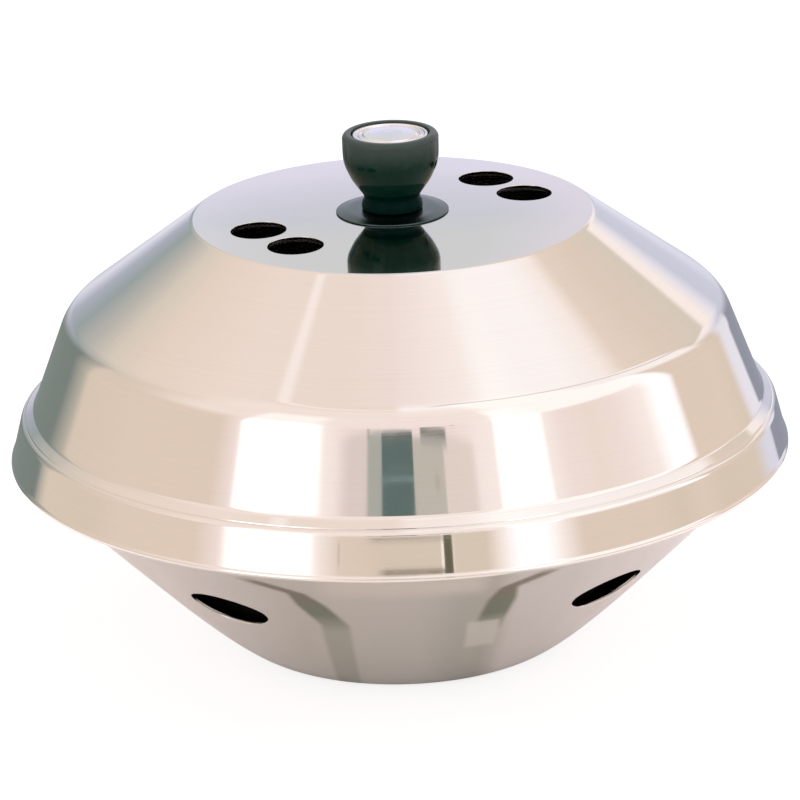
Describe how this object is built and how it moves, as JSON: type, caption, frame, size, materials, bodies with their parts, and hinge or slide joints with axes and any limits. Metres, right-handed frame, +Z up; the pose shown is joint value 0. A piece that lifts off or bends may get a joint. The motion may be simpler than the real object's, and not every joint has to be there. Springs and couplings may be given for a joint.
{
  "type": "kettle charcoal grill",
  "caption": "Round stainless kettle charcoal grill: conical bowl with oval vents, stepped conical hinged lid with a turning damper knob, liner, charcoal grate and cooking grate.",
  "frame": {"origin": "centre of the bowl's flat underside, on the grill's upright axis", "axes": "+Z up, -Y the front, +Y the hinge side, +X the right-hand side seen from the front"},
  "size_m": [0.368, 0.385, 0.247],
  "materials": {
    "polished_stainless": "mirror-polished stainless sheet",
    "satin_stainless": "satin stainless sheet",
    "bracket_stainless": "lightly brushed stainless strip",
    "grate_wire": "electropolished stainless wire",
    "charcoal_grate_wire": "dull stainless wire",
    "phenolic_black": "gloss black phenolic",
    "medallion_metal": "bright plain metal disc",
    "fastener_steel": "stainless fastener",
    "heat_shield_steel": "turned stainless disc"
  },
  "bodies": {
    "bowl": {"bowl_shell": "polished_stainless", "fire_bowl": "satin_stainless", "base_plate": "bracket_stainless", "mount_nut_1": "fastener_steel", "mount_nut_2": "fastener_steel", "mount_nut_3": "fastener_steel", "grate_support_1": "bracket_stainless", "grate_support_2": "bracket_stainless", "grate_support_3": "bracket_stainless", "support_rivet_1": "fastener_steel", "support_rivet_2": "fastener_steel", "support_rivet_3": "fastener_steel", "bowl_hinge_bracket": "bracket_stainless", "bowl_hinge_rivet_upper": "fastener_steel", "bowl_hinge_rivet_lower": "fastener_steel", "hinge_pin": "fastener_steel", "hinge_pin_clip": "fastener_steel"},
    "charcoal_grate_body": {"charcoal_grate": "charcoal_grate_wire"},
    "cooking_grate_body": {"cooking_grate": "grate_wire"},
    "lid": {"lid_shell": "polished_stainless", "lid_hinge_bracket": "bracket_stainless", "lid_hinge_rivet_upper": "fastener_steel", "lid_hinge_rivet_lower": "fastener_steel", "damper_stop_rivet": "fastener_steel"},
    "damper": {"knob": "phenolic_black", "knob_medallion": "medallion_metal", "knob_heat_shield": "heat_shield_steel", "knob_stud": "fastener_steel", "damper_disc": "satin_stainless", "damper_washer_upper": "fastener_steel", "damper_spring": "fastener_steel", "damper_washer_lower": "fastener_steel", "damper_nut": "fastener_steel"}
  },
  "joints": [
    {"name": "lid_hinge", "type": "hinge", "parent": "bowl", "child": "lid", "pos_m": [0, 0.195, 0.104], "axis": [-1, 0, 0], "range_deg": [0, 100]},
    {"name": "damper_turn", "type": "hinge", "parent": "lid", "child": "damper", "pos_m": [0, 0, 0.207], "axis": [0, 0, 1], "range_deg": [0, 56]},
    {"name": "cooking_grate_lift", "type": "slide", "parent": "bowl", "child": "cooking_grate_body", "axis": [0, 0, 1], "range_m": [0, 0.024]},
    {"name": "charcoal_grate_lift", "type": "slide", "parent": "bowl", "child": "charcoal_grate_body", "axis": [0, 0, 1], "range_m": [0, 0.035]}
  ]
}
